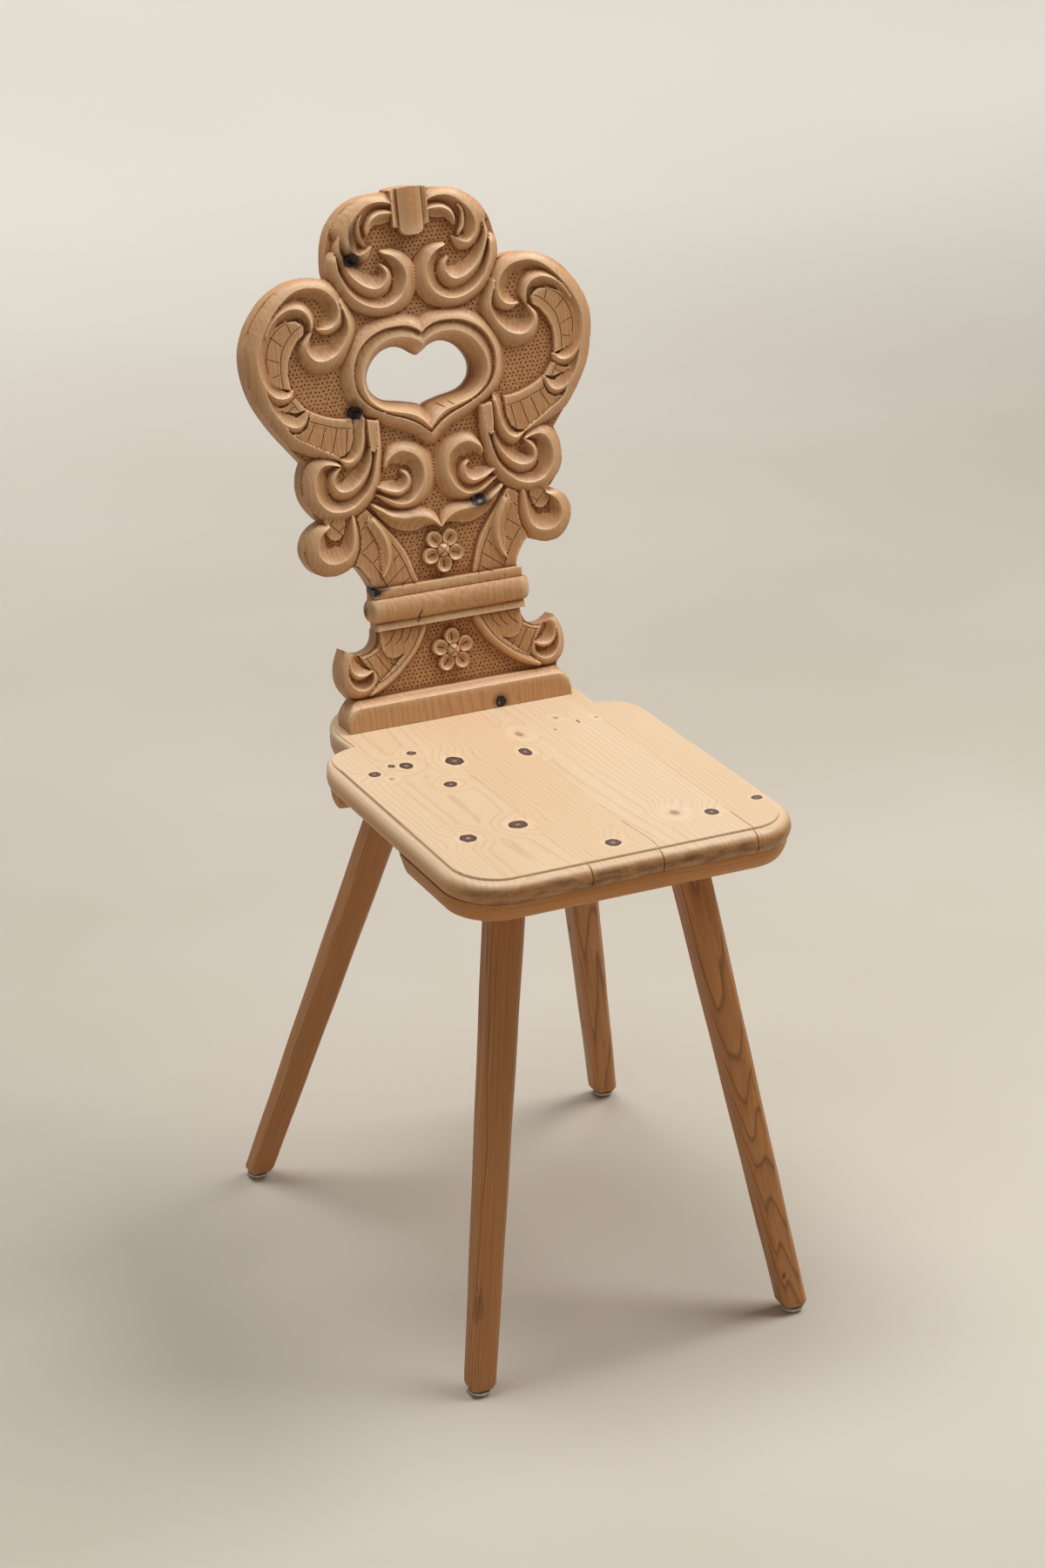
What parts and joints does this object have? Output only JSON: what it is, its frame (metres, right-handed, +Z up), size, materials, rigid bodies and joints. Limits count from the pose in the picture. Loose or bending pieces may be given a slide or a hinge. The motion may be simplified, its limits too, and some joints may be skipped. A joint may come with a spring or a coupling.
{
  "type": "carved board chair",
  "caption": "Alpine board chair with splayed chamfered legs, a round-cornered plank seat and a leaning back board carved with scrolls, flowers and a heart opening.",
  "frame": {"origin": "on the floor under the middle of the chair", "axes": "+Z up, the chair faces -Y, +X to the right seen from the front"},
  "size_m": [0.3776, 0.4621, 0.9097],
  "materials": {
    "carved_pine": "waxed, mid tan",
    "seat_pine": "waxed, pale",
    "frame_pine": "waxed, warm brown",
    "glide_plastic": "satin"
  },
  "bodies": {
    "root": {"back_board": "carved_pine", "seat_board": "seat_pine", "front_batten": "frame_pine", "rear_batten": "frame_pine", "leg_front_left": "frame_pine", "leg_front_right": "frame_pine", "leg_rear_left": "frame_pine", "leg_rear_right": "frame_pine", "tenon_key_left": "frame_pine", "tenon_key_right": "frame_pine", "glide_front_left": "glide_plastic", "glide_front_right": "glide_plastic", "glide_rear_left": "glide_plastic", "glide_rear_right": "glide_plastic"}
  },
  "joints": []
}
